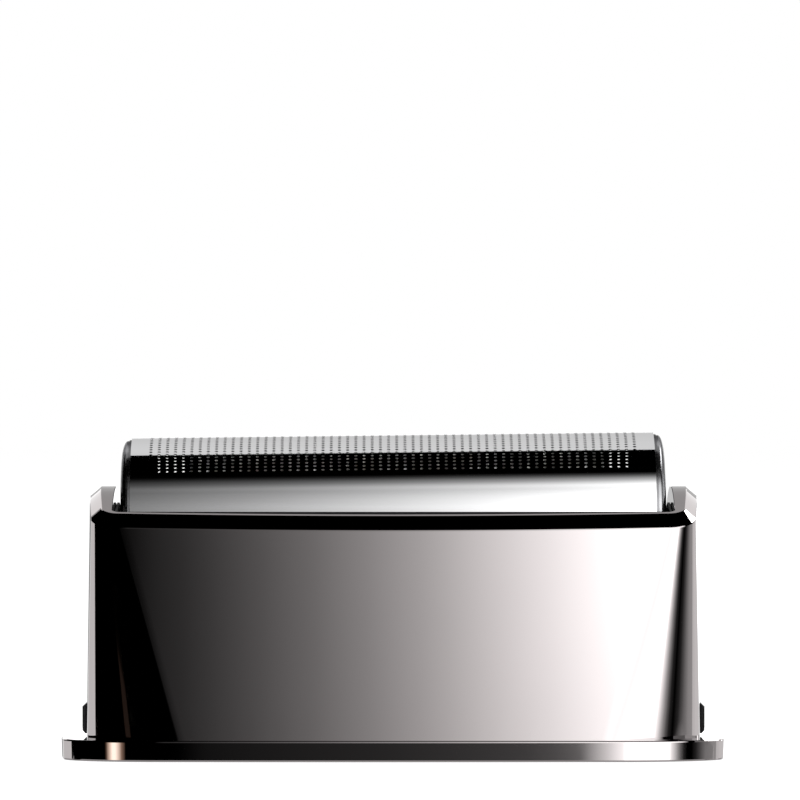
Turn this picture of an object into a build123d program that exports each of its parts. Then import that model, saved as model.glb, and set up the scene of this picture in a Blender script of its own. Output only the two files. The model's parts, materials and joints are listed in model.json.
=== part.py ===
from build123d import *
import os
from math import cos, radians, sin, sqrt, tan

# Shaver foil head in millimetres. X runs along the foil, -Y is the front, +Z is up.
# The origin is the middle of the flange's underside.

# Foil and its floating cassette
foil_radius = 6.8
foil_length = 44.2
foil_thickness = 0.12
float_tilt = 0.66  # degrees, right end up, as the springs have settled
float_travel = 1.5
cap_thickness = 1.0
cap_step = 0.25  # how far the end caps lie below the foil
cap_edge = 0.7  # the caps' bevel along X
cap_slope = 1.2  # and across their face
spigot_depth = 0.9
spigot_wall = 0.8
frame_drop = 4.0  # from the arch's axis down to the frame's top
frame_height = 2.5
frame_rail = 0.95
clamp_thickness = 0.3
clamp_height = 2.0
lug_spacing = 24.0
lug_length = 3.0
lug_height = 1.0
lug_reach = 0.7
lug_above_foot = 0.5
float_play = 0.3  # round the lugs in their windows

# Perforation of the foil
slot_columns = 11
slot_rows = 9
slot_length = 2.6  # along the foil
slot_width = 0.8
row_angle = 13.0
foil_margin = 1.6  # plain foil at each end

# Cutter
cutter_inset = 4.3  # cutter shorter than the foil at each end
cutter_end_gap = 0.2  # left at the end of the stroke
cutter_side_gap = 0.53
blade_count = 24
blade_thickness = 0.25
blade_seat = 1.2
blade_gap = 0.1  # running gap under the foil
spine_rise = 5.35  # top of the holder's spine above the arch's axis
spine_depth = 4.4
spine_edge = 0.6
holder_height = 5.3
holder_end = 0.2  # holder beyond the outermost blades
axis_above_holder = 1.0
stroke = 1.2
stroke_park = 0.3  # where the stroke has stopped
carriage_inset = 2.8  # carriage shorter than the cutter at each end
carriage_wall = 0.6
carriage_thickness = 2.2
carriage_gap = 0.4
carriage_corner = 1.0
post_spacing = 17.0
post_width = 2.0
post_height = 6.3
post_play = 0.25
rod_radius = 0.6
rod_spacing = 6.0
rod_running = 0.05
bush_radius = 2.0
bush_bore = 1.25
bush_length = 3.3
bush_roof = 0.8  # carriage left above the bush

# Leaf springs under the cutter and the cassette
cutter_lift = 4.6  # carriage to holder
cutter_spring_span = 12.0
cutter_spring_width = 4.0
float_lift = 2.3  # pillar to foil frame, halfway along
float_spring_width = 2.0
leaf_thickness = 0.2

# Chassis
fit = 0.05  # between pieces that are fixed together
float_end_gap = 0.18
float_side_gap = 0.3
socket_depth = 5.2
deck_thickness = 1.6
liner_wall = 0.83
liner_end_wall = 0.2
liner_lip = 0.18  # how far the liner stands above the rim's inner edge
liner_tip = 0.66
liner_tip_half_width = 4.0
boss_height = 4.4
boss_radius = 1.9
boss_sink = 0.1  # bosses let into the walls
rod_post_length = 1.5
rod_post_wall = 0.6
rod_post_clearance = 0.3  # past the end of the carriage's stroke
pillar_edge = 0.2  # pillar beyond the leaf spring's edges
pillar_gap = 0.25  # pillar to bosses
spring_tab = 0.7

# Screws
screw_radius = 0.5
screw_head_radius = 1.1
screw_head_height = 0.7
screw_bite = 3.0

# Housing
ear_land = 1.28
rim_land = 0.25
rim_bevel = 0.88  # across the rim
rim_drop = 0.73  # and down the wall
rim_rise = 2.5  # top of the rim's end arches above the foil's axis
rim_radius = 16.3
rim_overcut = 1.2  # width of the rim's cut to that of the rim
front_radius = 820.0  # gentle bow of the front and back
end_radius = 72.0
front_draft = 2.4  # degrees
end_draft = 0.8
opening_corner = 0.6
base_corner = (8.1, 4.1)  # along X and along Y
top_corner = (1.6, 1.3)
flange_thickness = 1.75
flange_overhang_x = 2.1
flange_overhang_y = 1.73
flange_corner = (8.4, 4.2)
flange_edge = 0.15

# Release buttons
button_width = 7.0
button_height = 2.5
button_above_flange = 0.2
button_proud = 0.3
button_travel = 0.7
button_edge = 0.25
button_flange = 0.5
button_flange_rim = 0.45
button_play = 0.06
button_spring_flat = 0.45  # room left for the spring when pressed

# Heights, stacked up from the flange's underside
deck_top = socket_depth + deck_thickness
carriage_bottom = deck_top + carriage_gap
carriage_top = carriage_bottom + carriage_thickness
rod_height = carriage_bottom + carriage_thickness / 2
holder_bottom = carriage_top + cutter_lift
foil_axis = holder_bottom + holder_height + axis_above_holder
rim_top = foil_axis + rim_rise
frame_foot = frame_drop + frame_height
pillar_top = foil_axis - frame_foot - float_lift
ring_bottom = deck_top + boss_height + float_end_gap


def bow(radius, reach):
    """How far a bowed side has fallen back at a distance from its middle."""
    return radius - sqrt(radius**2 - reach**2)


# Reaches from the middle outwards
foil_inner = foil_radius - foil_thickness
pocket_half_depth = foil_radius + clamp_thickness + float_side_gap
pocket_half_length = foil_length / 2 + cap_thickness + float_end_gap
opening_half_depth = pocket_half_depth + liner_wall + fit
opening_half_length = pocket_half_length + liner_end_wall + fit
boss_spacing_x = 2 * (opening_half_length - boss_radius + boss_sink)
boss_spacing_y = 2 * (opening_half_depth - bow(front_radius, opening_half_length) - boss_radius + boss_sink)
cutter_half_length = foil_length / 2 - cutter_inset
cutter_half_depth = foil_inner - frame_rail - cutter_side_gap
blade_pitch = 2 * (cutter_half_length - holder_end - blade_thickness / 2) / (blade_count - 1)
carriage_half_length = cutter_half_length - carriage_inset
carriage_half_depth = rod_spacing / 2 + rod_radius + carriage_wall
window_half_length = cutter_half_length + stroke + cutter_end_gap
float_spring_offset = (window_half_length + foil_length / 2) / 2
pillar_half_depth = boss_spacing_y / 2 - boss_radius - pillar_gap
float_spring_span = 2 * (pillar_half_depth - pillar_edge)


def rim_height(reach):
    """Height of the arched rim at a distance from the middle plane."""
    return rim_top - rim_radius + sqrt(rim_radius**2 - reach**2)


liner_top = rim_height(opening_half_depth) + liner_lip
rim_slope = sqrt(1 - (opening_half_depth / rim_radius) ** 2)
rim_outer = opening_half_depth + rim_land + rim_bevel * rim_slope
shell_top = rim_top + rim_bevel


def outer_half_depth(height):
    """Reach of the drafted front wall at a height."""
    return rim_outer + (rim_height(rim_outer) - height) * tan(radians(front_draft))


def outer_half_length(height):
    """Reach of the drafted end wall at a height."""
    return opening_half_length + ear_land + rim_bevel + (rim_top - height) * tan(radians(end_draft))


def outer_outline(half_length, half_depth, corner):
    """Outline with four bowed sides and elliptical corners, given by its reach in X and Y."""
    side_x = half_length - corner[0]
    side_y = half_depth - corner[1]
    x = half_length - bow(end_radius, side_y)
    y = half_depth - bow(front_radius, side_x)
    with BuildLine() as edge:
        front = RadiusArc((-side_x, -y), (side_x, -y), -front_radius)
        end = RadiusArc((x, -side_y), (x, side_y), -end_radius)
        gap = end @ 0 - front @ 1
        elbow = front @ 1 + (front % 1) * (gap.cross(end % 0).Z / (front % 1).cross(end % 0).Z)
        turn = Bezier(front @ 1, elbow, end @ 0, weights=(1, sqrt(0.5), 1))
        mirror(turn, about=Plane.XZ)
        add(edge.line.rotate(Axis.Z, 180))
    make_face(edge.edges())


def opening_outline(inset):
    """The shell's opening less an inset: bowed at the front and back, straight at the ends."""
    x = opening_half_length - inset
    y = opening_half_depth - inset - bow(front_radius, x)
    with BuildLine() as edge:
        front = RadiusArc((-x, -y), (x, -y), -front_radius)
        Line(front @ 1, (x, y))
        add(edge.line.rotate(Axis.Z, 180))
    make_face(edge.edges())
    fillet(vertices(), opening_corner)


def arch(radius, foot, mode=Mode.ADD):
    """Half disc on a rectangle that reaches down by foot."""
    with BuildLine() as edge:
        CenterArc((0, 0), radius, 0, 180)
        Polyline((-radius, 0), (-radius, -foot), (radius, -foot), (radius, 0))
    make_face(edge.edges(), mode=mode)


# The cassette's own frame: origin on the arch's axis, rolled by the float's tilt
roll = radians(float_tilt)
floating = Plane(origin=(0, 0, foil_axis), x_dir=(cos(roll), 0, sin(roll)), z_dir=(-sin(roll), 0, cos(roll)))
cutter = floating.moved(Plane(origin=(stroke_park, 0, 0)))
parked = Plane(origin=(stroke_park, 0, 0))

screw_places = [(-boss_spacing_x / 2, -boss_spacing_y / 2), (boss_spacing_x / 2, boss_spacing_y / 2)]
button_middle = flange_thickness + button_above_flange + button_height / 2
button_back = opening_half_length - fit - button_flange
button_spring_room = button_travel + button_spring_flat
tab_face = button_back - button_spring_room
flange_width = button_width + 2 * button_flange_rim
flange_height = button_height + 2 * button_flange_rim

# Housing: flange, drafted shell with a saddle rim, open from end to end in Z
with BuildPart() as housing:
    with BuildSketch(Plane.XY):
        outer_outline(
            outer_half_length(flange_thickness) + flange_overhang_x,
            outer_half_depth(flange_thickness) + flange_overhang_y,
            flange_corner,
        )
    extrude(amount=flange_thickness)
    chamfer(housing.faces().filter_by(Axis.Z).edges(), flange_edge)
    with BuildSketch(Plane.XY.offset(flange_thickness)):
        outer_outline(outer_half_length(flange_thickness), outer_half_depth(flange_thickness), base_corner)
    with BuildSketch(Plane.XY.offset(shell_top)):
        outer_outline(outer_half_length(shell_top), outer_half_depth(shell_top), top_corner)
    loft()
    saddle_reach = rim_overcut * rim_outer
    saddle_low = rim_height(saddle_reach)
    with BuildSketch(Plane.YZ):
        with BuildLine():
            RadiusArc((-saddle_reach, saddle_low), (saddle_reach, saddle_low), rim_radius)
            Polyline(
                (saddle_reach, saddle_low),
                (saddle_reach, 2 * shell_top),
                (-saddle_reach, 2 * shell_top),
                (-saddle_reach, saddle_low),
            )
        make_face()
    extrude(amount=2 * opening_half_length, both=True, mode=Mode.SUBTRACT)
    rim_face = housing.faces().filter_by(GeomType.CYLINDER).sort_by(Axis.Z)[-1]
    chamfer(rim_face.edges(), rim_bevel, rim_drop, reference=rim_face)
    with BuildSketch(Plane.XY):
        opening_outline(0)
    extrude(amount=shell_top, mode=Mode.SUBTRACT)
    with BuildSketch(Plane.XY.offset(deck_top)):
        with GridLocations(boss_spacing_x, boss_spacing_y, 2, 2):
            Circle(boss_radius)
    extrude(amount=boss_height)
    with BuildSketch(Plane.XY.offset(deck_top)):
        with Locations(*screw_places):
            Circle(screw_radius + fit)
    extrude(amount=screw_bite + fit, mode=Mode.SUBTRACT)
    with BuildSketch(Plane.YZ):
        with Locations((0, button_middle)):
            Rectangle(button_width + 2 * button_play, button_height + 2 * button_play)
    extrude(amount=2 * opening_half_length, both=True, mode=Mode.SUBTRACT)

# Chassis: deck over the neck socket, liner walls round the cassette, posts and tabs
with BuildPart() as chassis:
    with BuildSketch(Plane.XY.offset(socket_depth)):
        opening_outline(fit)
        RectangleRounded(
            2 * (bush_radius + stroke + carriage_gap),
            2 * (bush_radius + carriage_gap),
            carriage_corner,
            mode=Mode.SUBTRACT,
        )
    extrude(amount=deck_thickness)
    with BuildSketch(Plane.XY.offset(deck_top)):
        opening_outline(fit)
        Rectangle(
            boss_spacing_x - 2 * (boss_radius + float_end_gap),
            3 * opening_half_depth,
            mode=Mode.INTERSECT,
        )
        Rectangle(boss_spacing_x, 2 * pocket_half_depth, mode=Mode.SUBTRACT)
    extrude(amount=ring_bottom - deck_top)
    with BuildSketch(Plane.XY.offset(ring_bottom)):
        opening_outline(fit)
        Rectangle(2 * pocket_half_length, 2 * pocket_half_depth, mode=Mode.SUBTRACT)
    extrude(amount=liner_top - ring_bottom)
    for side in (-1, 1):
        with BuildSketch(Plane.YZ.offset(side * pocket_half_length)):
            with BuildLine():
                Polyline(
                    (-liner_tip_half_width, liner_top),
                    (0, liner_top + liner_tip),
                    (liner_tip_half_width, liner_top),
                    close=True,
                )
            make_face()
        extrude(amount=side * liner_end_wall)
    with BuildSketch(Plane.XZ):
        lug_low = foil_axis - frame_foot + lug_above_foot
        window_height = lug_height + float_travel + 2 * float_play
        with GridLocations(lug_spacing, 0, 2, 1):
            with Locations((0, lug_low - float_travel - float_play)):
                Rectangle(lug_length + 2 * float_play, window_height, align=(Align.CENTER, Align.MIN))
    extrude(amount=2 * opening_half_depth, both=True, mode=Mode.SUBTRACT)
    post_middle = carriage_half_length + stroke + rod_post_clearance + rod_post_length / 2
    with BuildSketch(Plane.XY.offset(deck_top)):
        with GridLocations(2 * post_middle, rod_spacing, 2, 2):
            Rectangle(rod_post_length, 2 * (rod_radius + rod_post_wall))
    extrude(amount=rod_height + rod_radius + rod_post_wall - deck_top)
    with BuildSketch(Plane.YZ):
        with Locations((-rod_spacing / 2, rod_height), (rod_spacing / 2, rod_height)):
            Circle(rod_radius + fit / 2)
    extrude(amount=post_middle + rod_post_length, both=True, mode=Mode.SUBTRACT)
    with BuildSketch(Plane.XY.offset(deck_top)):
        with GridLocations(2 * float_spring_offset, 0, 2, 1):
            Rectangle(float_spring_width + 2 * pillar_edge, 2 * pillar_half_depth)
    extrude(amount=pillar_top - deck_top)
    with BuildSketch(Plane.XY.offset(socket_depth)):
        with GridLocations(2 * tab_face - spring_tab, 0, 2, 1):
            Rectangle(spring_tab, flange_width)
    extrude(amount=button_middle - flange_height / 2 - socket_depth)
    with BuildSketch(Plane.XY.offset(socket_depth)):
        with Locations(*screw_places):
            Circle(screw_radius + fit)
    extrude(amount=deck_thickness, mode=Mode.SUBTRACT)
    with BuildSketch(Plane.XY.offset(socket_depth)):
        with Locations(*screw_places):
            Circle(screw_head_radius + fit)
    extrude(amount=screw_head_height, mode=Mode.SUBTRACT)

# Screws that hold the chassis up against the housing's bosses
with BuildPart() as chassis_screws:
    with BuildSketch(Plane.XY.offset(socket_depth)):
        with Locations(*screw_places):
            Circle(screw_head_radius)
    extrude(amount=screw_head_height)
    with BuildSketch(Plane.XY.offset(socket_depth)):
        with Locations(*screw_places):
            Circle(screw_radius)
    extrude(amount=deck_thickness + screw_bite)

# Rods that the carriage runs on
with BuildPart() as guide_rods:
    with BuildSketch(Plane.YZ):
        with Locations((-rod_spacing / 2, rod_height), (rod_spacing / 2, rod_height)):
            Circle(rod_radius)
    extrude(amount=post_middle + rod_post_length / 2, both=True)

# Foil: a thin arch with skirts, perforated in rows round the arch
with BuildPart() as foil:
    with BuildSketch(floating.moved(Plane.YZ)):
        arch(foil_radius, frame_foot)
        arch(foil_inner, frame_foot, mode=Mode.SUBTRACT)
    extrude(amount=foil_length / 2, both=True)
    for row in range(slot_rows):
        angle = (row - (slot_rows - 1) / 2) * row_angle
        with BuildSketch(floating.moved(Plane.XY.rotated((angle, 0, 0)))):
            with GridLocations((foil_length - 2 * foil_margin) / slot_columns, 0, slot_columns, 1):
                Rectangle(slot_length, slot_width)
        extrude(amount=2 * foil_radius, mode=Mode.SUBTRACT)

# Foil frame: ring inside the foil's skirts
with BuildPart() as foil_frame:
    with BuildSketch(floating.moved(Plane.XY.offset(-frame_foot))):
        Rectangle(foil_length, 2 * foil_inner)
        Rectangle(2 * window_half_length, 2 * (foil_inner - frame_rail), mode=Mode.SUBTRACT)
    extrude(amount=frame_height)

# End caps: arched plates with a spigot under the foil
with BuildPart() as end_cap_right:
    with BuildSketch(floating.moved(Plane.YZ.offset(foil_length / 2))):
        arch(foil_radius - cap_step, frame_foot)
    extrude(amount=cap_thickness)
    cap_face = end_cap_right.faces().sort_by(Axis.X)[-1]
    chamfer(cap_face.edges().filter_by(GeomType.CIRCLE), cap_slope, cap_edge, reference=cap_face)
    with BuildSketch(floating.moved(Plane.YZ.offset(foil_length / 2))):
        arch(foil_inner - fit, frame_drop - fit)
        arch(foil_inner - fit - spigot_wall, frame_drop, mode=Mode.SUBTRACT)
    extrude(amount=-spigot_depth)
with BuildPart() as end_cap_left:
    mirror(end_cap_right.part, about=floating.moved(Plane.YZ))

# Clamp strips: outside the foil's skirts, with lugs that hook in the chassis
with BuildPart() as foil_clamp_front:
    with BuildSketch(floating.moved(Plane.XY.offset(-frame_foot))):
        with Locations((0, -foil_radius)):
            Rectangle(foil_length, clamp_thickness, align=(Align.CENTER, Align.MAX))
    extrude(amount=clamp_height)
    with BuildSketch(floating.moved(Plane.XY.offset(lug_above_foot - frame_foot))):
        with Locations((-lug_spacing / 2, -foil_radius), (lug_spacing / 2, -foil_radius)):
            Rectangle(lug_length, clamp_thickness + lug_reach, align=(Align.CENTER, Align.MAX))
    extrude(amount=lug_height)
with BuildPart() as foil_clamp_back:
    mirror(foil_clamp_front.part, about=Plane.XZ)

# Cutter carriage on its rods, with two posts that guide the blade holder
with BuildPart() as cutter_carriage:
    with BuildSketch(parked.offset(carriage_bottom)):
        RectangleRounded(2 * carriage_half_length, 2 * carriage_half_depth, carriage_corner)
    extrude(amount=carriage_thickness)
    with BuildSketch(Plane.YZ):
        with Locations((-rod_spacing / 2, rod_height), (rod_spacing / 2, rod_height)):
            Circle(rod_radius + rod_running)
    extrude(amount=2 * carriage_half_length, both=True, mode=Mode.SUBTRACT)
    with BuildSketch(parked.offset(carriage_bottom)):
        Circle(bush_radius + fit / 2)
    extrude(amount=carriage_thickness - bush_roof, mode=Mode.SUBTRACT)
    with BuildSketch(parked.offset(carriage_top)):
        with GridLocations(post_spacing, 0, 2, 1):
            Rectangle(post_width, post_width)
    extrude(amount=post_height)

# Drive bush: takes the handle's pin from below
with BuildPart() as drive_bush:
    with BuildSketch(parked.offset(carriage_top - bush_roof)):
        Circle(bush_radius)
        Circle(bush_bore, mode=Mode.SUBTRACT)
    extrude(amount=-bush_length)

# Blade holder: slotted above for the blades, with a spine along them and sockets below for the posts
blade_places = [(i - (blade_count - 1) / 2) * blade_pitch for i in range(blade_count)]
with BuildPart() as blade_holder:
    with BuildSketch(cutter.offset(-axis_above_holder)):
        Rectangle(2 * cutter_half_length, 2 * cutter_half_depth)
    extrude(amount=-holder_height)
    with BuildSketch(cutter.offset(-axis_above_holder)):
        with GridLocations(blade_pitch, 0, blade_count, 1):
            Rectangle(blade_thickness + fit, 3 * cutter_half_depth)
    extrude(amount=-blade_seat, mode=Mode.SUBTRACT)
    with BuildSketch(cutter.offset(spine_rise)):
        Rectangle(2 * cutter_half_length, spine_depth)
    extrude(amount=-spine_rise - axis_above_holder - blade_seat)
    spine_top = blade_holder.faces().sort_by(Axis.Z)[-1]
    chamfer(spine_top.edges().sort_by(SortBy.LENGTH)[-2:], spine_edge)
    with BuildSketch(cutter.offset(-axis_above_holder - holder_height)):
        with GridLocations(post_spacing, 0, 2, 1):
            Rectangle(post_width + 2 * post_play, post_width + 2 * post_play)
    extrude(amount=post_height - cutter_lift + float_travel + post_play, mode=Mode.SUBTRACT)

# Blades: thin plates astride the spine, whose rounded tops run just under the foil
blade_radius = foil_inner - blade_gap
blade_shoulder = sqrt(blade_radius**2 - cutter_half_depth**2)
blade_foot = -axis_above_holder - blade_seat
notch_half_depth = spine_depth / 2 + fit
with BuildPart() as cutter_blades:
    with BuildSketch(*[cutter.moved(Plane.YZ.offset(x - blade_thickness / 2)) for x in blade_places]):
        with BuildLine():
            ThreePointArc(
                (cutter_half_depth, blade_shoulder),
                (0, blade_radius),
                (-cutter_half_depth, blade_shoulder),
            )
            Polyline(
                (-cutter_half_depth, blade_shoulder),
                (-cutter_half_depth, blade_foot),
                (-notch_half_depth, blade_foot),
                (-notch_half_depth, spine_rise + fit),
                (notch_half_depth, spine_rise + fit),
                (notch_half_depth, blade_foot),
                (cutter_half_depth, blade_foot),
                (cutter_half_depth, blade_shoulder),
            )
        make_face()
    extrude(amount=blade_thickness)


def leaf_section(span, height):
    """Bowed strip on edge: feet at span apart, and its back at height."""
    with BuildLine() as edge:
        foot = span / 2 - leaf_thickness
        ThreePointArc((-span / 2, 0), (0, height), (span / 2, 0))
        Line((span / 2, 0), (foot, 0))
        ThreePointArc((foot, 0), (0, height - leaf_thickness), (-foot, 0))
        Line((-foot, 0), (-span / 2, 0))
    make_face(edge.edges())


# Leaf springs: two under the cassette's ends, one under the cutter
float_lean = float_spring_offset * sin(roll)
with BuildPart() as float_spring_left:
    with BuildSketch(Plane.YZ.moved(Plane(origin=(0, pillar_top, -float_spring_offset)))):
        leaf_section(float_spring_span, float_lift - float_lean - fit)
    extrude(amount=float_spring_width / 2, both=True)
with BuildPart() as float_spring_right:
    with BuildSketch(Plane.YZ.moved(Plane(origin=(0, pillar_top, float_spring_offset)))):
        leaf_section(float_spring_span, float_lift + float_lean - fit)
    extrude(amount=float_spring_width / 2, both=True)
with BuildPart() as cutter_spring:
    with BuildSketch(Plane.XZ.moved(Plane(origin=(stroke_park, carriage_top, 0)))):
        leaf_section(cutter_spring_span, cutter_lift - fit)
    extrude(amount=cutter_spring_width / 2, both=True)

# Release button: a flange behind the end wall and a stem through it
with BuildPart() as release_button_right:
    with BuildSketch(Plane.YZ.offset(button_back)):
        with Locations((0, button_middle)):
            Rectangle(flange_width, flange_height)
    extrude(amount=button_flange)
    with BuildSketch(Plane.YZ.offset(button_back)):
        with Locations((0, button_middle)):
            Rectangle(button_width, button_height)
    extrude(amount=outer_half_length(button_middle) + button_proud - button_back)
    chamfer(release_button_right.faces().sort_by(Axis.X)[-1].edges(), button_edge)
with BuildPart() as release_button_left:
    mirror(release_button_right.part, about=Plane.YZ)

# Leaf spring bowed between the chassis tab and the button
with BuildPart() as button_spring_right:
    with BuildSketch(Plane(origin=(tab_face, 0, button_middle), x_dir=(0, -1, 0))):
        leaf_section(button_width, button_spring_room - fit)
    extrude(amount=button_height / 2, both=True)
with BuildPart() as button_spring_left:
    mirror(button_spring_right.part, about=Plane.YZ)

pieces = {
    "housing": housing,
    "chassis": chassis,
    "chassis_screws": chassis_screws,
    "guide_rods": guide_rods,
    "foil": foil,
    "foil_frame": foil_frame,
    "end_cap_left": end_cap_left,
    "end_cap_right": end_cap_right,
    "foil_clamp_front": foil_clamp_front,
    "foil_clamp_back": foil_clamp_back,
    "float_spring_left": float_spring_left,
    "float_spring_right": float_spring_right,
    "cutter_carriage": cutter_carriage,
    "drive_bush": drive_bush,
    "cutter_spring": cutter_spring,
    "blade_holder": blade_holder,
    "cutter_blades": cutter_blades,
    "release_button_left": release_button_left,
    "release_button_right": release_button_right,
    "button_spring_left": button_spring_left,
    "button_spring_right": button_spring_right,
}
os.makedirs("parts", exist_ok=True)
for name, piece in pieces.items():
    piece.part.label = name
    export_step(piece.part, f"parts/{name}.step")
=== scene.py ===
import json
from math import asin, atan2, cos, pi, radians, sin, sqrt, tan

import bmesh
import bpy
from mathutils import Matrix, Vector


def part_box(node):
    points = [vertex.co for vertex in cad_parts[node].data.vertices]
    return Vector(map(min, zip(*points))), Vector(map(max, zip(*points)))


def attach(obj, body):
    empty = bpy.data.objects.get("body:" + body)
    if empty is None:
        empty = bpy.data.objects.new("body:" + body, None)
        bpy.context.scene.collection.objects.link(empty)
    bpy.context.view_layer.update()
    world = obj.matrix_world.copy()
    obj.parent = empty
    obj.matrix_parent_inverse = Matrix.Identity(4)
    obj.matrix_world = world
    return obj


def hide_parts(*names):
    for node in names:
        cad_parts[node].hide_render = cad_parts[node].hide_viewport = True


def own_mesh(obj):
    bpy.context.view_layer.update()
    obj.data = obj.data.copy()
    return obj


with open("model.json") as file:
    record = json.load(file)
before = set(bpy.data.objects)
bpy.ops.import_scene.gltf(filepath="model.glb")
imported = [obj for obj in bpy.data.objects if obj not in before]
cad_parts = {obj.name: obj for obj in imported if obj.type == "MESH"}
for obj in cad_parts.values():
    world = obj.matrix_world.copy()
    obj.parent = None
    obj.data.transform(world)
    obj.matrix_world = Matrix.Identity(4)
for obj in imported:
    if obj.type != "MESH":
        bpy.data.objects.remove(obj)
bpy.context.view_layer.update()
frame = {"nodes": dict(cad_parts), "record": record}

# Sizes are in millimetres and follow the solids. The mesh helpers turn them into metres.
MM = 0.001

# Housing
opening_half_length = 23.53
opening_half_depth = 8.28
opening_corner = (0.6, 0.6)
front_radius = 820.0
end_radius = 72.0
straight = 1e6  # radius of a side that has no bow
front_draft = radians(2.4)
end_draft = radians(0.8)
base_corner = (8.1, 4.1)
top_corner = (1.6, 1.3)
flange_corner = (8.4, 4.2)
flange_thickness = 1.75
flange_edge = 0.15
flange_lean = 0.045  # the moulded edge draws in by this much towards its foot
ear_land = 1.28
rim_land = 0.25
rim_bevel = 0.88
rim_drop = 0.73
rim_radius = 16.3
rim_top = 22.8
edge_round = 0.05
boss_radius = 1.9
boss_sink = 0.1
boss_bottom = 6.8
boss_top = 11.2
screw_hole = 0.55
screw_hole_top = 9.85
window_half_width = 3.56
window_bottom = 1.89
window_top = 4.51

# Foil and its floating cassette
foil_axis = 20.3
float_tilt = radians(0.66)
foil_radius = 6.79
foil_half_length = 22.1
foil_thickness = 0.055
foil_foot = 6.5
hole_columns = 60
hole_rows = 34
hole_pitch = 0.6915
row_angle = radians(3.273)
hole_width = 0.3
hole_height = 0.2
cap_radius = 6.55
cap_thickness = 0.86
cap_round = (0.48, 1.4)  # along X and across the cap's face
spigot_radius = 6.63
spigot_wall = 0.8
spigot_foot = 3.95
spigot_depth = 0.9
leaf_thickness = 0.2

# Camera, from the photo
photo_width = 68.0
camera_distance = 500.0
camera_aside = 0.55
camera_height = 30.08


# Mesh helpers

EDGE = radians(40)  # two faces that meet at more than this show an edge


def add_piece(mesh, material, body, node):
    """Object of a mesh that rides on a body in a node's place."""
    mesh.materials.append(material)
    piece = bpy.data.objects.new(mesh.name, mesh)
    bpy.context.scene.collection.objects.link(piece)
    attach(piece, body)
    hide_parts(node)
    return piece


def mesh_piece(name, points, faces, sharp, material, body, node):
    """Piece from points in millimetres, smooth but for edges that turn by more than sharp."""
    mesh = bpy.data.meshes.new(name)
    mesh.from_pydata([Vector(p) * MM for p in points], [], faces)
    build = bmesh.new()
    build.from_mesh(mesh)
    bmesh.ops.recalc_face_normals(build, faces=build.faces)
    build.to_mesh(mesh)
    build.free()
    mesh.shade_smooth()
    mesh.set_sharp_from_angle(angle=sharp)
    return add_piece(mesh, material, body, node)


def loop_faces(first, second):
    """Quads between two closed rows of point numbers."""
    count = len(first)
    return [(first[i], first[(i + 1) % count], second[(i + 1) % count], second[i]) for i in range(count)]


def spread(start, end, count):
    """Evenly spaced values from start up to, but without, end."""
    return [start + (end - start) * i / count for i in range(count)]


# Outlines of the housing

FRONT_STEPS = 64
CORNER_STEPS = 24
END_STEPS = 10
WINDOW_STEPS = 8
WALL_STEPS = 9
INNER_STEPS = 5
HALVINGS = 40  # in the search for the rim's height


def bow(radius, reach):
    """How far a bowed side has fallen back at a distance from its middle."""
    return radius - sqrt(radius**2 - reach**2)


def conic(start, elbow, end):
    """Elliptical corner from start up to, but without, end, with the tangents meeting in elbow."""
    points = []
    for t in spread(0.0, 1.0, CORNER_STEPS):
        shares = ((1 - t) ** 2, sqrt(2) * t * (1 - t), t**2)
        points.append(tuple((start * shares[0] + elbow * shares[1] + end * shares[2]) / sum(shares)))
    return points


def outline(half_length, half_depth, corner, side_radius=end_radius):
    """Closed row of points with bowed sides, in the same order for every outline."""
    side_x = half_length - corner[0]
    side_y = half_depth - corner[1]
    front_turn = asin(side_x / front_radius)
    side_turn = asin(side_y / side_radius)
    start = Vector((side_x, bow(front_radius, side_x) - half_depth))
    end = Vector((half_length - bow(side_radius, side_y), -side_y))
    along_front = Vector((cos(front_turn), sin(front_turn)))
    along_side = Vector((sin(side_turn), cos(side_turn)))
    elbow = start + along_front * ((end - start).cross(along_side) / along_front.cross(along_side))
    points = []
    for a in spread(-front_turn, front_turn, FRONT_STEPS):
        points.append((front_radius * sin(a), front_radius * (1 - cos(a)) - half_depth))
    points += conic(start, elbow, end)
    heights = spread(-side_y, -window_half_width, END_STEPS)
    heights += spread(-window_half_width, window_half_width, WINDOW_STEPS)
    heights += spread(window_half_width, side_y, END_STEPS)
    points += [(half_length - bow(side_radius, y), y) for y in heights]
    flip = Vector((1, -1))
    points += conic(end * flip, elbow * flip, start * flip)
    return points + [(-x, -y) for x, y in points]


WINDOW_FIRST = FRONT_STEPS + CORNER_STEPS + END_STEPS


def rim_height(y):
    """Height of the arched rim at a distance from the middle plane."""
    return rim_top - rim_radius + sqrt(rim_radius**2 - y**2)


rim_outer = opening_half_depth + rim_land + rim_bevel * sqrt(1 - (opening_half_depth / rim_radius) ** 2)
shell_top = rim_top + rim_bevel


def outer_half_depth(z):
    """Reach of the drafted front wall at a height."""
    return rim_outer + (rim_height(rim_outer) - z) * tan(front_draft)


def outer_half_length(z):
    """Reach of the drafted end wall at a height."""
    return opening_half_length + ear_land + rim_bevel + (rim_top - z) * tan(end_draft)


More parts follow.
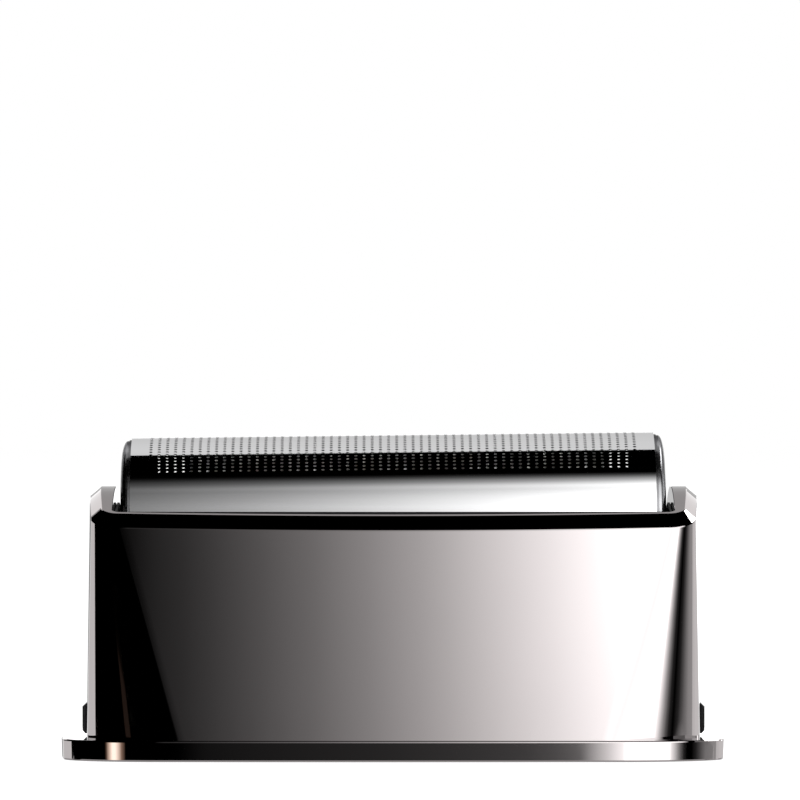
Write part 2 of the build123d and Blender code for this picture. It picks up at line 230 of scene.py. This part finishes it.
def rim_edges():
    """The drafted wall's rulings, with the lower and upper edge of the rim's bevel on each."""
    z0 = flange_thickness
    base = outline(outer_half_length(z0), outer_half_depth(z0), base_corner)
    top = outline(outer_half_length(shell_top), outer_half_depth(shell_top), top_corner)
    base = [Vector((x, y, z0)) for x, y in base]
    top = [Vector((x, y, shell_top)) for x, y in top]
    rim = []
    for low, high in zip(base, top):
        under, over = 0.0, 1.0
        for _ in range(HALVINGS):
            middle = (under + over) / 2
            point = low.lerp(high, middle)
            if point.z < rim_height(point.y):
                under = middle
            else:
                over = middle
        rim.append(low.lerp(high, under))
    bevel_low, bevel_high = [], []
    for i, point in enumerate(rim):
        edge = (rim[(i + 1) % len(rim)] - rim[i - 1]).normalized()
        ruling = (top[i] - base[i]).normalized()
        bevel_low.append(point - ruling * rim_drop / sqrt(1 - ruling.dot(edge) ** 2))
        normal = Vector((0, point.y, point.z - rim_top + rim_radius)).normalized()
        inward = normal.cross(edge)
        if inward.x * point.x + inward.y * point.y > 0:
            inward = -inward
        lifted = point + inward * rim_bevel
        bevel_high.append(Vector((lifted.x, lifted.y, rim_height(lifted.y))))
    return base, bevel_low, bevel_high


def towards(start, end, distance):
    """Point at a distance from start on the way to end."""
    return start + (end - start).normalized() * distance


def rounded(before, corner, after):
    """Two rows just before and just after a row of corner points."""
    first = [towards(c, b, edge_round) for b, c in zip(before, corner)]
    second = [towards(c, a, edge_round) for c, a in zip(corner, after)]
    return [first, second]


def make_housing(material):
    """Flange, drafted shell, saddle rim and inner wall as one closed skin with two button windows."""
    base, bevel_low, bevel_high = rim_edges()
    opening = outline(opening_half_length, opening_half_depth, opening_corner, straight)
    flange_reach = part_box("housing")[1] / MM

    def flange_row(inset, z):
        corner = [reach - inset for reach in flange_corner]
        row = outline(flange_reach.x - inset, flange_reach.y - inset, corner)
        return [Vector((x, y, z)) for x, y in row]

    def opening_row(z):
        return [Vector((x, y, z)) for x, y in opening]

    rows = [opening_row(0)]
    turns = [radians(a) for a in (0, 30, 60, 90)]
    for a in turns:
        rows.append(flange_row(flange_lean + flange_edge * (1 - sin(a)), flange_edge * (1 - cos(a))))
    for a in turns:
        rows.append(flange_row(flange_edge * (1 - cos(a)), flange_thickness - flange_edge * (1 - sin(a))))
    rows.append(base)
    wall_low = len(rows)
    for z in (window_bottom, window_top):
        rows.append([low.lerp(high, (z - low.z) / (high.z - low.z)) for low, high in zip(base, bevel_low)])
    for share in spread(0.0, 1.0, WALL_STEPS)[1:]:
        rows.append([low.lerp(high, share) for low, high in zip(rows[wall_low + 1], bevel_low)])
    rim_edge = [Vector((x, y, rim_height(y))) for x, y in opening]
    inner_top = opening_row(window_top)
    rows += rounded(rows[-1], bevel_low, bevel_high)
    rows += rounded(bevel_low, bevel_high, rim_edge)
    rows += rounded(bevel_high, rim_edge, inner_top)
    for share in spread(0.0, 1.0, INNER_STEPS)[1:]:
        rows.append([high.lerp(low, share) for high, low in zip(rim_edge, inner_top)])
    inner_high = len(rows)
    rows += [inner_top, opening_row(window_bottom)]

    count = len(opening)
    points = [p for row in rows for p in row]
    number = [list(range(r * count, (r + 1) * count)) for r in range(len(rows))]
    halves = (0, count // 2)
    in_window = {h + WINDOW_FIRST + i for h in halves for i in range(WINDOW_STEPS)}
    faces = []
    for r in range(len(rows)):
        band = loop_faces(number[r], number[(r + 1) % len(rows)])
        if r in (wall_low, inner_high):
            band = [f for i, f in enumerate(band) if i not in in_window]
        faces += band
    for h in halves:
        first = h + WINDOW_FIRST
        last = first + WINDOW_STEPS
        outer_low, outer_high = number[wall_low], number[wall_low + 1]
        low, high = number[inner_high + 1], number[inner_high]
        for i in range(first, last):
            faces.append((outer_low[i], outer_low[i + 1], low[i + 1], low[i]))
            faces.append((outer_high[i], outer_high[i + 1], high[i + 1], high[i]))
        for i in (first, last):
            faces.append((outer_low[i], outer_high[i], high[i], low[i]))
    # The flange's edge turns into its rounds by 15 degrees, and has to stay an edge
    housing = mesh_piece(
        "housing_shell", points, faces, radians(12), material, "shell", "housing"
    )
    weigh = housing.modifiers.new("weigh", "WEIGHTED_NORMAL")
    weigh.keep_sharp = True


BOSS_STEPS = 24


def make_bosses(material):
    """Four bosses in the shell's corners that the chassis is screwed up to; two of them hold a screw."""
    reach_x = opening_half_length - boss_radius + boss_sink
    reach_y = opening_half_depth - bow(front_radius, opening_half_length) - boss_radius + boss_sink
    points, faces = [], []
    for side in (-1, 1):
        for front in (-1, 1):
            rings = [(boss_radius, boss_top), (boss_radius, boss_bottom)]
            if side == front:
                rings += [(screw_hole, boss_bottom), (screw_hole, screw_hole_top)]
            rows = []
            for radius, z in rings:
                rows.append(list(range(len(points), len(points) + BOSS_STEPS)))
                for a in spread(0.0, 2 * pi, BOSS_STEPS):
                    points.append((side * reach_x + radius * cos(a), front * reach_y + radius * sin(a), z))
            for first, second in zip(rows, rows[1:]):
                faces += loop_faces(first, second)
            faces += [rows[0], rows[-1]]
    mesh_piece("housing_bosses", points, faces, EDGE, material, "shell", "housing")


# Cassette pieces, made upright about the foil's axis and then rolled with the float

rolled = Matrix.Translation((0, 0, foil_axis)) @ Matrix.Rotation(-float_tilt, 4, "Y")


def sheet_point(x, along, radius):
    """Point of the foil at an arc length from the top; past a quarter turn it goes straight down."""
    quarter = foil_radius * pi / 2
    if abs(along) <= quarter:
        turn = along / foil_radius
        return (x, radius * sin(turn), radius * cos(turn))
    side = 1 if along > 0 else -1
    return (x, side * radius, quarter - abs(along))


def sheet_normal(along):
    """Outward direction of the foil at an arc length from the top."""
    turn = max(-pi / 2, min(pi / 2, along / foil_radius))
    return Vector((0, sin(turn), cos(turn)))


CELL_X, CELL_Y = 4, 2  # each hole's cell is this many steps wide and high
SKIRT_STEPS = 9


def make_foil(material):
    """Thin perforated arch: every hole is cut through from the outer to the inner skin.

    The rows behind the top are half a cell out of step with those in front.
    """
    row_pitch = row_angle * foil_radius
    half_band = hole_columns * hole_pitch / 2
    half_rows = hole_rows * row_pitch / 2
    foot = foil_radius * pi / 2 + foil_foot
    xs = [-foil_half_length]
    xs += [-half_band + i * hole_pitch / CELL_X for i in range(hole_columns * CELL_X + 1)]
    xs.append(foil_half_length)
    quarter = foil_radius * pi / 2
    skirt = [-foot] + [-quarter + (quarter - half_rows) * i / SKIRT_STEPS for i in range(SKIRT_STEPS)]
    band = [-half_rows + i * row_pitch / CELL_Y for i in range(hole_rows * CELL_Y + 2)]
    alongs = skirt + band + [-a for a in reversed(skirt)]
    first_row = len(skirt)

    places = [(x, a) for a in alongs for x in xs]
    wide = len(xs)

    def grid(i, j):
        return j * wide + i

    # Boundary of a cell and the oval hole inside it, in the same turning order
    border = [(a, 0) for a in range(CELL_X)] + [(CELL_X, b) for b in range(CELL_Y)]
    border += [(CELL_X - a, CELL_Y - b) for a, b in border]
    skin, holes = [], []
    blocked = set()
    for row in range(hole_rows):
        behind = int(row >= hole_rows // 2)
        for column in range(hole_columns - behind):
            i0 = 1 + column * CELL_X + behind * CELL_X // 2
            j0 = first_row + row * CELL_Y + behind
            blocked.update((i0 + a, j0 + b) for a in range(CELL_X) for b in range(CELL_Y))
            middle_x = (xs[i0] + xs[i0 + CELL_X]) / 2
            middle_a = (alongs[j0] + alongs[j0 + CELL_Y]) / 2
            start = len(places)
            for a, b in border:
                turn = atan2(b / CELL_Y - 0.5, a / CELL_X - 0.5)
                across, along = cos(turn) * hole_width / 2, sin(turn) * hole_height / 2
                places.append((middle_x + across, middle_a + along))
            ring = [grid(i0 + a, j0 + b) for a, b in border]
            oval = list(range(start, start + len(border)))
            skin += loop_faces(ring, oval)
            holes.append(oval)
    for j in range(len(alongs) - 1):
        for i in range(wide - 1):
            if (i, j) not in blocked:
                skin.append((grid(i, j), grid(i + 1, j), grid(i + 1, j + 1), grid(i, j + 1)))

    count = len(places)
    inner_radius = foil_radius - foil_thickness
    points = [sheet_point(x, a, foil_radius) for x, a in places]
    points += [sheet_point(x, a, inner_radius) for x, a in places]
    inner = [tuple(count + n for n in reversed(f)) for f in skin]
    walls = []
    for oval in holes:
        walls += loop_faces([count + n for n in oval], oval)
    rim = [grid(i, 0) for i in range(wide)] + [grid(wide - 1, j) for j in range(1, len(alongs))]
    rim += [grid(i, len(alongs) - 1) for i in range(wide - 2, -1, -1)]
    rim += [grid(0, j) for j in range(len(alongs) - 2, 0, -1)]
    walls += loop_faces([count + n for n in rim], rim)

    mesh = bpy.data.meshes.new("foil_sheet")
    mesh.from_pydata([rolled @ Vector(p) * MM for p in points], [], skin + inner + walls)
    mesh.update()
    turn = rolled.to_3x3()
    skins = len(skin) + len(inner)
    normals = []
    for polygon in mesh.polygons:
        for loop in polygon.loop_indices:
            number = mesh.loops[loop].vertex_index
            if polygon.index < skins:
                facing = turn @ sheet_normal(places[number % count][1])
                normals.append(facing if polygon.normal.dot(facing) > 0 else -facing)
            else:
                normals.append(polygon.normal.copy())
    mesh.shade_smooth()
    mesh.set_sharp_from_angle(angle=EDGE)
    mesh.normals_split_custom_set(normals)
    add_piece(mesh, material, "foil_cassette", "foil")


ARCH_STEPS = 64
CAP_TURNS = 8


def arch_row(radius, foot):
    """Half circle with straight legs, from one foot over the top to the other."""
    row = [(-radius, -foot)]
    for i in range(ARCH_STEPS + 1):
        a = pi * i / ARCH_STEPS
        row.append((-radius * cos(a), radius * sin(a)))
    return row + [(radius, -foot)]


def make_cap(side, node, material):
    """End cap with a rounded edge, and its spigot under the foil."""
    points, faces = [], []

    def add_row(x, row):
        start = len(points)
        points.extend(rolled @ Vector((side * x, y, z)) for y, z in row)
        return list(range(start, len(points)))

    back = foil_half_length + cap_thickness
    rows = [add_row(foil_half_length, arch_row(cap_radius, foil_foot))]
    for i in range(CAP_TURNS + 1):
        a = pi / 2 * i / CAP_TURNS
        radius = cap_radius - cap_round[1] * (1 - cos(a))
        rows.append(add_row(back - cap_round[0] * (1 - sin(a)), arch_row(radius, foil_foot)))
    shell = arch_row(spigot_radius, spigot_foot)
    shell += reversed(arch_row(spigot_radius - spigot_wall, spigot_foot))
    spigot_ends = (foil_half_length + cap_thickness / 4, foil_half_length - spigot_depth)
    spigot = [add_row(x, shell) for x in spigot_ends]
    for strip in (rows, spigot):
        for first, second in zip(strip, strip[1:]):
            faces += loop_faces(first, second)
        faces += [strip[0], strip[-1]]
    mesh_piece(node + "_cover", points, faces, radians(35), material, "foil_cassette", node)


LEAF_STEPS = 32


def make_leaf(node, body, rise_axis, span_axis, material):
    """Bowed leaf spring in its node's place. Axes are 0 to 2."""
    low, high = (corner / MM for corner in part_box(node))
    width_axis = 3 - rise_axis - span_axis
    outward = -1 if node.endswith("left") and rise_axis == 0 else 1
    foot = low[rise_axis] if outward > 0 else high[rise_axis]
    rise = high[rise_axis] - low[rise_axis]
    middle = (low[span_axis] + high[span_axis]) / 2
    half_span = (high[span_axis] - low[span_axis]) / 2
    points, faces = [], []
    for i in range(LEAF_STEPS + 1):
        t = -1 + 2 * i / LEAF_STEPS
        for inset in (0.0, leaf_thickness):
            span, height = half_span - inset, rise - inset
            radius = (span**2 + height**2) / (2 * height)
            turn = asin(min(1.0, span / radius)) if height < span else pi - asin(span / radius)
            for side in (low[width_axis], high[width_axis]):
                point = [0.0, 0.0, 0.0]
                point[span_axis] = middle + radius * sin(t * turn)
                point[rise_axis] = foot + outward * (height - radius + radius * cos(t * turn))
                point[width_axis] = side
                points.append(point)
    for i in range(LEAF_STEPS):
        a, b = 4 * i, 4 * (i + 1)
        for p, q in ((0, 1), (1, 3), (3, 2), (2, 0)):
            faces.append((a + p, a + q, b + q, b + p))
    last = 4 * LEAF_STEPS
    faces += [(0, 2, 3, 1), (last, last + 1, last + 3, last + 2)]
    piece = mesh_piece(node + "_leaf", points, faces, EDGE, material, body, node)
    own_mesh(piece)


# Materials

def new_material(name, colour, metallic, roughness):
    """Principled material and its shader node."""
    material = bpy.data.materials.new(name)
    material.use_nodes = True
    shader = material.node_tree.nodes["Principled BSDF"]
    shader.inputs["Base Color"].default_value = (*colour, 1)
    shader.inputs["Metallic"].default_value = metallic
    shader.inputs["Roughness"].default_value = roughness
    return material, shader


def add_noise(material, grain, stretch=(1, 1, 1)):
    """Noise whose grain is about this many millimetres, drawn out along the axes by stretch."""
    nodes, links = material.node_tree.nodes, material.node_tree.links
    place = nodes.new("ShaderNodeTexCoord")
    scale = nodes.new("ShaderNodeMapping")
    scale.inputs["Scale"].default_value = [1 / (grain * MM * s) for s in stretch]
    noise = nodes.new("ShaderNodeTexNoise")
    noise.inputs["Scale"].default_value = 1.0
    noise.inputs["Detail"].default_value = 4.0
    links.new(place.outputs["Object"], scale.inputs["Vector"])
    links.new(scale.outputs["Vector"], noise.inputs["Vector"])
    return noise.outputs["Fac"]


def vary(material, shader, socket, noise, low, high):
    """Drive a number of the shader between two values by a noise."""
    nodes, links = material.node_tree.nodes, material.node_tree.links
    span = nodes.new("ShaderNodeMapRange")
    span.inputs["From Min"].default_value = 0.3
    span.inputs["From Max"].default_value = 0.7
    span.inputs["To Min"].default_value = low
    span.inputs["To Max"].default_value = high
    links.new(noise, span.inputs["Value"])
    links.new(span.outputs["Result"], shader.inputs[socket])


def tint(material, shader, noise, dark, light):
    """Let the colour wander between two tones by a noise."""
    nodes, links = material.node_tree.nodes, material.node_tree.links
    ramp = nodes.new("ShaderNodeValToRGB")
    ramp.color_ramp.elements[0].position = 0.3
    ramp.color_ramp.elements[1].position = 0.7
    ramp.color_ramp.elements[0].color = (*dark, 1)
    ramp.color_ramp.elements[1].color = (*light, 1)
    links.new(noise, ramp.inputs["Fac"])
    links.new(ramp.outputs["Color"], shader.inputs["Base Color"])


def roughen(material, shader, noise, strength, height):
    """Bump from a noise, its height in millimetres."""
    nodes, links = material.node_tree.nodes, material.node_tree.links
    bump = nodes.new("ShaderNodeBump")
    bump.inputs["Strength"].default_value = strength
    bump.inputs["Distance"].default_value = height * MM
    links.new(noise, bump.inputs["Height"])
    links.new(bump.outputs["Normal"], shader.inputs["Normal"])


def metal(name, dark, light, roughness, grain, stretch=(1, 1, 1), bump_height=0.0005, edge=1.0):
    """Metal with a wandering tone, streaky roughness and fine tool marks; edge tints it at a glance."""
    material, shader = new_material(name, light, 1.0, roughness[1])
    shader.inputs["Specular Tint"].default_value = (edge, edge, edge, 1)
    tint(material, shader, add_noise(material, 6 * grain, stretch), dark, light)
    vary(material, shader, "Roughness", add_noise(material, grain, stretch), *roughness)
    roughen(material, shader, add_noise(material, grain / 4, stretch), 0.3, bump_height)
    return material


def plastic(name, dark, light, roughness, shine=0.5):
    """Moulded plastic with a fine spark-eroded grain."""
    material, shader = new_material(name, light, 0.0, roughness[1])
    shader.inputs["Specular IOR Level"].default_value = shine
    tint(material, shader, add_noise(material, 3.0), dark, light)
    vary(material, shader, "Roughness", add_noise(material, 1.0), *roughness)
    roughen(material, shader, add_noise(material, 0.12), 0.35, 0.01)
    return material


materials = {
    "black_chrome": metal(
        "black_chrome", (0.262, 0.245, 0.245), (0.278, 0.258, 0.258), (0.015, 0.04), 5.0,
        bump_height=0.00002, edge=0.7,
    ),
    "foil_steel": metal(
        "foil_steel", (0.60, 0.60, 0.605), (0.64, 0.64, 0.645), (0.03, 0.07), 0.25, (80, 1, 1),
        bump_height=0.00005, edge=0.77,
    ),
    "blade_steel": metal(
        "blade_steel", (0.55, 0.55, 0.56), (0.66, 0.66, 0.67), (0.5, 0.65), 0.3, (1, 8, 1)
    ),
    "polished_steel": metal(
        "polished_steel", (0.55, 0.55, 0.56), (0.62, 0.62, 0.63), (0.1, 0.22), 0.4, (8, 1, 1)
    ),
    "spring_steel": metal(
        "spring_steel", (0.34, 0.34, 0.35), (0.42, 0.42, 0.43), (0.2, 0.35), 0.3, (1, 8, 1)
    ),
    "screw_steel": metal("screw_steel", (0.3, 0.3, 0.31), (0.37, 0.37, 0.38), (0.25, 0.4), 0.5),
    "brass": metal("brass", (0.66, 0.49, 0.24), (0.74, 0.57, 0.3), (0.2, 0.35), 0.4, (8, 8, 1)),
    "grey_plastic": metal(
        "grey_plastic", (0.16, 0.16, 0.165), (0.19, 0.19, 0.195), (0.16, 0.26), 1.0,
        bump_height=0.0004, edge=0.3,
    ),
    "black_plastic": plastic(
        "black_plastic", (0.004, 0.004, 0.0045), (0.006, 0.006, 0.0065), (0.45, 0.6), shine=0.06
    ),
    "white_plastic": plastic("white_plastic", (0.64, 0.64, 0.62), (0.72, 0.72, 0.7), (0.4, 0.55)),
}
for subpart in frame["record"]["subparts"]:
    node = frame["nodes"][subpart["node"]]
    node.data.materials.clear()
    node.data.materials.append(materials[subpart["material_slot"]])

make_housing(materials["black_chrome"])
make_bosses(materials["black_chrome"])
make_foil(materials["foil_steel"])
make_cap(-1, "end_cap_left", materials["grey_plastic"])
make_cap(1, "end_cap_right", materials["grey_plastic"])
UP, LENGTH, DEPTH = 2, 0, 1
spring_steel = materials["spring_steel"]
for side in ("left", "right"):
    make_leaf(f"float_spring_{side}", "shell", UP, DEPTH, spring_steel)
    make_leaf(f"button_spring_{side}", "shell", LENGTH, DEPTH, spring_steel)
make_leaf("cutter_spring", "carriage", UP, LENGTH, spring_steel)


# Stage: floor, world, reflection cards, lamps and camera

def stage_mesh(name, points, faces, material, corners=None):
    """Stage object from points in metres; corners holds one texture place for each point."""
    mesh = bpy.data.meshes.new(name)
    mesh.from_pydata(points, [], faces)
    if corners:
        layer = mesh.uv_layers.new(name="place")
        for loop in mesh.loops:
            layer.data[loop.index].uv = corners[loop.vertex_index]
    mesh.materials.append(material)
    piece = bpy.data.objects.new(name, mesh)
    bpy.context.scene.collection.objects.link(piece)
    return piece


def seen_directly(nodes, links):
    """1 for rays that look at a surface straight, in a mirror or through glass, and 0 for light."""
    path = nodes.new("ShaderNodeLightPath")
    total = path.outputs["Is Camera Ray"]
    for name in ("Is Glossy Ray", "Is Transmission Ray"):
        add = nodes.new("ShaderNodeMath")
        add.operation = "ADD"
        add.use_clamp = True
        links.new(total, add.inputs[0])
        links.new(path.outputs[name], add.inputs[1])
        total = add.outputs[0]
    return total


def make_world(light):
    """White wherever it is looked at; light is its strength on diffuse surfaces."""
    world = bpy.data.worlds.new("studio")
    bpy.context.scene.world = world
    world.use_nodes = True
    nodes, links = world.node_tree.nodes, world.node_tree.links
    span = nodes.new("ShaderNodeMapRange")
    span.inputs["To Min"].default_value = light
    span.inputs["To Max"].default_value = 1.0
    links.new(seen_directly(nodes, links), span.inputs["Value"])
    nodes["Background"].inputs["Color"].default_value = (1, 1, 1, 1)
    links.new(span.outputs["Result"], nodes["Background"].inputs["Strength"])


def make_floor(half_size, glow):
    """Pale floor that keeps a faint shadow; glow is how much of what is seen of it is plain white."""
    material = bpy.data.materials.new("floor")
    material.use_nodes = True
    nodes, links = material.node_tree.nodes, material.node_tree.links
    nodes.remove(nodes["Principled BSDF"])
    diffuse = nodes.new("ShaderNodeBsdfDiffuse")
    diffuse.inputs["Color"].default_value = (0.9, 0.9, 0.9, 1)
    white = nodes.new("ShaderNodeEmission")
    white.inputs["Strength"].default_value = 1.03
    share = nodes.new("ShaderNodeMath")
    share.operation = "MULTIPLY"
    share.inputs[1].default_value = glow
    mix = nodes.new("ShaderNodeMixShader")
    links.new(seen_directly(nodes, links), share.inputs[0])
    links.new(share.outputs[0], mix.inputs["Fac"])
    links.new(diffuse.outputs[0], mix.inputs[1])
    links.new(white.outputs[0], mix.inputs[2])
    links.new(mix.outputs[0], nodes["Material Output"].inputs["Surface"])
    below = -0.02 * MM
    ways = ((-1, -1), (1, -1), (1, 1), (-1, 1))
    corners = [(x * half_size, y * half_size, below) for x, y in ways]
    floor = stage_mesh("floor", corners, [(0, 1, 2, 3)], material)
    floor.visible_glossy = False


def only_in_mirrors(card):
    """A card that shows in reflections and nowhere else."""
    card.visible_camera = False
    card.visible_diffuse = False
    card.visible_transmission = False
    card.visible_volume_scatter = False
    card.visible_shadow = False


def ramp_node(nodes, links, source, knots, low, high):
    """Brightness along a texture place. Knots are pairs: a value from low to high, and a share of full."""
    ramp = nodes.new("ShaderNodeValToRGB")
    elements = ramp.color_ramp.elements
    while len(elements) > 1:
        elements.remove(elements[-1])
    for i, (value, share) in enumerate(knots):
        place = (value - low) / (high - low)
        element = elements[0] if i == 0 else elements.new(place)
        element.position = place
        element.color = (*share, 1) if isinstance(share, tuple) else (share, share, share, 1)
    links.new(source, ramp.inputs["Fac"])
    return ramp.outputs["Color"]


def glow(name, strength, colour=(1, 1, 1)):
    """Material that shines evenly, and its shader node."""
    material = bpy.data.materials.new(name)
    material.use_nodes = True
    nodes, links = material.node_tree.nodes, material.node_tree.links
    nodes.remove(nodes["Principled BSDF"])
    light = nodes.new("ShaderNodeEmission")
    light.inputs["Color"].default_value = (*colour, 1)
    light.inputs["Strength"].default_value = strength
    links.new(light.outputs[0], nodes["Material Output"].inputs["Surface"])
    return material, light


def texture_place(nodes, links):
    """The two texture places of a sheet or card, along and across it."""
    place = nodes.new("ShaderNodeUVMap")
    split = nodes.new("ShaderNodeSeparateXYZ")
    links.new(place.outputs["UV"], split.inputs["Vector"])
    return split.outputs["X"], split.outputs["Y"]


def bent_grid(name, material, across, over, point):
    """Sheet of across by over faces, seen only in mirrors; point gives the place for shares from 0 to 1."""
    corners = [(i / across, j / over) for j in range(over + 1) for i in range(across + 1)]
    faces = []
    for j in range(over):
        for i in range(across):
            a = j * (across + 1) + i
            faces.append((a, a + 1, a + across + 2, a + across + 1))
    only_in_mirrors(stage_mesh(name, [point(u, v) for u, v in corners], faces, material, corners))


TENT_RADIUS = 5.0


def make_sheet(name, rises, asides, peak, walls, grounds=None, fade=None, step=None):
    """Glowing sheet bent round the X axis.

    rises are angles from the back horizon over the top to the front, and asides to the left or right.
    walls is the brightness by aside, and fade dims it by rise. Beyond the rises in step, grounds takes
    its place.
    """
    material, light = glow(name, peak)
    nodes, links = material.node_tree.nodes, material.node_tree.links
    aside, rise = texture_place(nodes, links)
    colour = ramp_node(nodes, links, aside, walls, *asides)
    if fade:
        dim = nodes.new("ShaderNodeVectorMath")
        dim.operation = "MULTIPLY"
        links.new(colour, dim.inputs[0])
        links.new(ramp_node(nodes, links, rise, fade, *rises), dim.inputs[1])
        colour = dim.outputs[0]
    if grounds:
        blend = nodes.new("ShaderNodeMix")
        blend.data_type = "VECTOR"
        links.new(ramp_node(nodes, links, rise, step, *rises), blend.inputs["Factor"])
        links.new(colour, blend.inputs[4])
        links.new(ramp_node(nodes, links, aside, grounds, *asides), blend.inputs[5])
        colour = blend.outputs[1]
    links.new(colour, light.inputs["Color"])

    def point(u, v):
        angle = radians(rises[0] + v * (rises[1] - rises[0]))
        lean = radians(asides[0] + u * (asides[1] - asides[0]))
        return (TENT_RADIUS * tan(lean), TENT_RADIUS * cos(angle), TENT_RADIUS * sin(angle))

    bent_grid(name, material, 120, 60, point)


def make_card(name, azimuths, elevations, distance, strength, colour=(1, 1, 1), grade=None):
    """Part of a sphere round the object as a glowing card. Azimuth 0 is the front and 90 the right.

    grade is the brightness by azimuth, where the card isn't even.
    """
    material, light = glow(name, strength, colour)
    if grade:
        nodes, links = material.node_tree.nodes, material.node_tree.links
        along, _ = texture_place(nodes, links)
        links.new(ramp_node(nodes, links, along, grade, *azimuths), light.inputs["Color"])

    def point(u, v):
        azimuth = radians(azimuths[0] + (azimuths[1] - azimuths[0]) * u)
        elevation = radians(elevations[0] + (elevations[1] - elevations[0]) * v)
        level = distance * cos(elevation)
        return (level * sin(azimuth), -level * cos(azimuth), distance * sin(elevation))

    bent_grid(name, material, 32, 32, point)


def make_lamp(name, place, size, power):
    """Soft square lamp aimed at the object, left out of reflections."""
    data = bpy.data.lights.new(name, "AREA")
    data.size = size
    data.energy = power
    lamp = bpy.data.objects.new(name, data)
    bpy.context.scene.collection.objects.link(lamp)
    lamp.location = place
    aim = Vector((0, 0, 15.0)) * MM
    lamp.rotation_euler = (aim - Vector(place)).to_track_quat("-Z", "Y").to_euler()
    lamp.visible_glossy = False


def make_camera():
    """Level camera in front, as in the photo."""
    data = bpy.data.cameras.new("camera")
    data.sensor_width = 36.0
    data.lens = data.sensor_width * camera_distance / photo_width
    camera = bpy.data.objects.new("camera", data)
    bpy.context.scene.collection.objects.link(camera)
    camera.location = (camera_aside * MM, -camera_distance * MM, camera_height * MM)
    camera.rotation_euler = (pi / 2, 0, 0)
    bpy.context.scene.camera = camera


bpy.context.scene.view_settings.view_transform = "Standard"
make_world(0.6)
make_floor(3.0, 0.93)
make_sheet(
    "tent",
    rises=(76.6, 200.0),
    asides=(-82.0, 70.0),
    peak=5.85,
    walls=[
        (-6.2, 0.0), (-5.7, 0.01), (-4.55, 0.0233), (-3.21, 0.0578), (-1.87, 0.11), (-0.53, 0.19),
        (0.82, 0.3), (2.16, 0.465), (3.5, 0.65), (5.5, 1.0), (38.0, 1.0), (45.0, 0.0),
    ],
    fade=[
        (119.0, 0.0), (122.0, 0.02), (125.0, 0.085), (131.3, 0.31), (137.4, 0.66), (139.0, 0.68),
        (143.0, 0.62), (155.0, 0.82), (166.0, 0.93), (175.5, 0.88), (177.5, 0.77), (178.4, 0.71),
        (179.3, 0.65),
    ],
    grounds=[
        (-4.5, 0.0), (-4.2, 0.004), (-2.08, 0.0078), (-0.3, 0.0111), (1.48, 0.018), (3.27, 0.03),
        (4.16, 0.07), (4.6, 0.26), (5.05, 0.8), (38.0, 0.8), (45.0, 0.0),
    ],
    step=[(179.6, 0.0), (180.6, 1.0)],
)
make_sheet(
    "back_tent",
    rises=(-30.0, -0.5),
    asides=(-60.0, 60.0),
    peak=3.0,
    walls=[
        (-40.0, 0.33), (-9.0, 0.05), (-3.0, 0.2), (3.0, 0.6), (7.0, 1.0), (20.0, 0.8), (26.0, 0.02),
        (40.0, 0.33),
    ],
)
# Cards at this height show in the flange's edge and not in the walls
FLANGE_LEVEL = (-7.6, -5.8)
make_card(
    "warm_strip", (-42.0, -25.0), FLANGE_LEVEL, 3.9, 4.4,
    grade=[
        (-41.5, 0.0), (-40.1, (0.05, 0.03, 0.02)), (-37.6, (0.5, 0.38, 0.3)), (-35.0, (1.0, 0.87, 0.75)),
        (-33.0, (1.0, 0.87, 0.75)), (-30.4, (0.6, 0.48, 0.4)), (-28.2, (0.17, 0.11, 0.08)), (-25.5, 0.0),
    ],
)
make_card(
    "flange_grade", (30.5, 112.0), FLANGE_LEVEL, 3.9, 5.0,
    grade=[
        (30.5, 1.0), (32.8, 0.6), (35.2, 0.39), (37.8, 0.19), (40.3, 0.07), (43.0, 0.012), (46.0, 0.0),
        (51.0, 0.0), (56.0, 0.01), (60.0, 0.032), (70.5, 0.12), (88.0, 0.145), (88.5, 0.3), (112.0, 0.38),
    ],
)
make_card("warm_glimmer", (-43.0, -38.5), (-5.3, -4.1), 4.0, 0.05, (1.0, 0.65, 0.5))
make_card("left_dark", (-95.0, -60.0), (-20.0, 3.0), 4.0, 0.0)
make_card("left_back", (-168.0, -95.0), (-12.0, 3.0), 4.0, 1.8)
make_card("flange_end", (-95.0, -88.0), FLANGE_LEVEL, 3.9, 1.7)
make_card("left_flag", (-140.0, -78.0), (3.0, 55.0), 4.0, 0.0)
make_card("left_kicker", (-170.0, -142.0), (12.0, 60.0), 4.0, 2.5)
make_card(
    "right_grade", (36.0, 112.0), (-20.0, 3.0), 4.0, 5.0,
    grade=[
        (36.0, 1.0), (38.0, 0.68), (41.0, 0.37), (44.0, 0.17), (47.0, 0.06), (50.0, 0.01), (55.0, 0.0),
        (62.0, 0.01), (68.0, 0.044), (74.5, 0.1), (83.0, 0.165), (97.5, 0.19), (98.0, 0.33), (112.0, 0.36),
    ],
)
make_card("right_back", (112.0, 168.0), (-12.0, 2.5), 4.0, 1.9)
make_card("right_grey", (57.0, 77.0), (3.0, 22.0), 4.0, 0.6)
make_card("right_white", (77.0, 112.0), (3.0, 22.0), 4.0, 1.6)
make_card("right_edge", (124.0, 136.0), (2.5, 11.0), 4.0, 6.0)
make_card("right_softbox", (90.0, 112.0), (45.0, 52.5), 3.0, 12.0)
make_card("right_softbox_low", (112.0, 139.0), (31.5, 52.5), 3.0, 12.0)
make_card("right_kicker", (139.0, 170.0), (14.0, 60.0), 4.0, 2.5)
make_card("back_glow", (150.0, 210.0), (1.8, 6.0), 4.0, 2.2)
make_lamp("key", (-0.5, -0.8, 0.9), 0.6, 30.0)
make_lamp("fill", (0.7, 0.3, 0.8), 0.6, 12.0)
make_camera()
